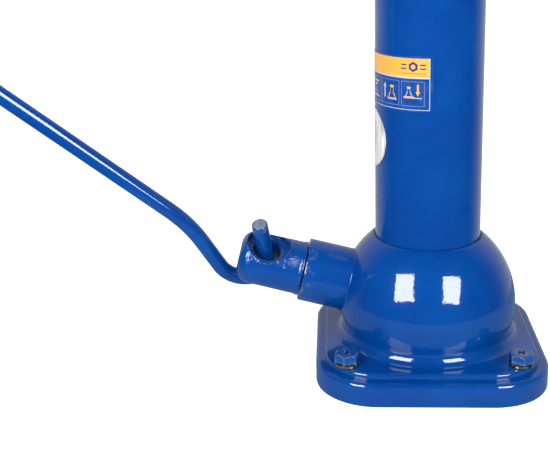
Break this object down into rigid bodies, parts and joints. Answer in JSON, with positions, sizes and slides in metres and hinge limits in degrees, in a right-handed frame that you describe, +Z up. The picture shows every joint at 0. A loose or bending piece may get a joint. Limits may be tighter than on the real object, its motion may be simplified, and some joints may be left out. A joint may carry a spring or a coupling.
{
  "type": "bottle jack",
  "caption": "Mechanical bottle jack: hooked crank handle, bevel gears in a domed housing, lifting screw and nut, guided tube and swivel saddle on a square base.",
  "frame": {"origin": "centre of the base plate's underside, on the ground", "axes": "+Z up along the column; the crank shaft leaves the housing towards -X and slopes up from the gear apex"},
  "size_m": [0.4769, 0.138, 0.266],
  "materials": {
    "blue_paint": "glossy cobalt-blue enamel, brushed or sprayed over steel and cast iron, lightly scuffed",
    "bright_steel": "turned and ground bare steel with a film of oil",
    "dark_steel": "blackened steel, oiled",
    "yellow_zinc": "yellow-passivated zinc plate, worn to black in places",
    "bronze": "bearing bronze, satin",
    "brass": "rolled brass, satin",
    "felt": "oiled black felt",
    "printed_film": "printed self-adhesive film, semi-gloss",
    "silver_foil": "silver-white foil sticker, semi-gloss"
  },
  "bodies": {
    "housing": {"base_plate": "blue_paint", "gear_housing": "blue_paint", "base_screw_1": "blue_paint", "base_screw_2": "blue_paint", "base_screw_3": "blue_paint", "base_screw_4": "blue_paint", "spring_washer_1": "yellow_zinc", "spring_washer_2": "yellow_zinc", "spring_washer_3": "yellow_zinc", "spring_washer_4": "yellow_zinc", "column_tube": "blue_paint", "guide_bush": "bronze", "wiper_ring": "felt", "column_cap": "blue_paint", "guide_screw": "dark_steel", "instruction_label": "printed_film", "inspection_sticker": "silver_foil", "shaft_bush": "bronze", "shaft_thrust_washer": "brass", "bearing_lower_race": "bright_steel"},
    "crank": {"input_shaft": "blue_paint", "bevel_pinion": "dark_steel", "pinion_pin": "bright_steel"},
    "screw": {"lifting_screw": "bright_steel", "bevel_gear": "dark_steel", "gear_key": "bright_steel", "stop_washer": "dark_steel", "stop_ring": "dark_steel", "bearing_upper_race": "bright_steel"},
    "cage": {"ball_cage": "brass", "bearing_ball_1": "bright_steel", "bearing_ball_2": "bright_steel", "bearing_ball_3": "bright_steel", "bearing_ball_4": "bright_steel", "bearing_ball_5": "bright_steel", "bearing_ball_6": "bright_steel", "bearing_ball_7": "bright_steel", "bearing_ball_8": "bright_steel", "bearing_ball_9": "bright_steel", "bearing_ball_10": "bright_steel", "bearing_ball_11": "bright_steel", "bearing_ball_12": "bright_steel"},
    "ram": {"lifting_tube": "bright_steel", "lift_nut": "bronze", "nut_pin_1": "dark_steel", "nut_pin_2": "dark_steel", "head_plug": "dark_steel", "plug_pin": "dark_steel", "saddle_snap_ring": "dark_steel"},
    "swivel_head": {"saddle": "dark_steel"},
    "handle": {"crank_handle": "blue_paint"}
  },
  "joints": [
    {"name": "crank_spin", "type": "hinge", "parent": "housing", "child": "crank", "pos_m": [0, 0, 0.039], "axis": [0.9703, 0, -0.2419], "range_deg": [0, 13680]},
    {"name": "screw_spin", "type": "hinge", "parent": "housing", "child": "screw", "pos_m": [0, 0, 0], "axis": [0, 0, 1], "range_deg": [-6840, 0]},
    {"name": "cage_spin", "type": "hinge", "parent": "housing", "child": "cage", "pos_m": [0, 0, 0], "axis": [0, 0, 1], "range_deg": [-3420, 0]},
    {"name": "lift", "type": "slide", "parent": "housing", "child": "ram", "axis": [0, 0, 1], "range_m": [0, 0.1141]},
    {"name": "saddle_swivel", "type": "hinge", "parent": "ram", "child": "swivel_head", "pos_m": [0, 0, 0.26], "axis": [0, 0, 1], "continuous": true},
    {"name": "handle_swivel", "type": "hinge", "parent": "crank", "child": "handle", "pos_m": [-0.10067, 0, 0.0641], "axis": [0.221, -0.4067, 0.8864], "range_deg": [-75, 75]}
  ],
  "couplings": [
    {"joint": "screw_spin", "follows": "crank_spin", "ratio": -0.5},
    {"joint": "cage_spin", "follows": "crank_spin", "ratio": -0.25},
    {"joint": "lift", "follows": "crank_spin", "m_per_rad": 0.00047746}
  ]
}
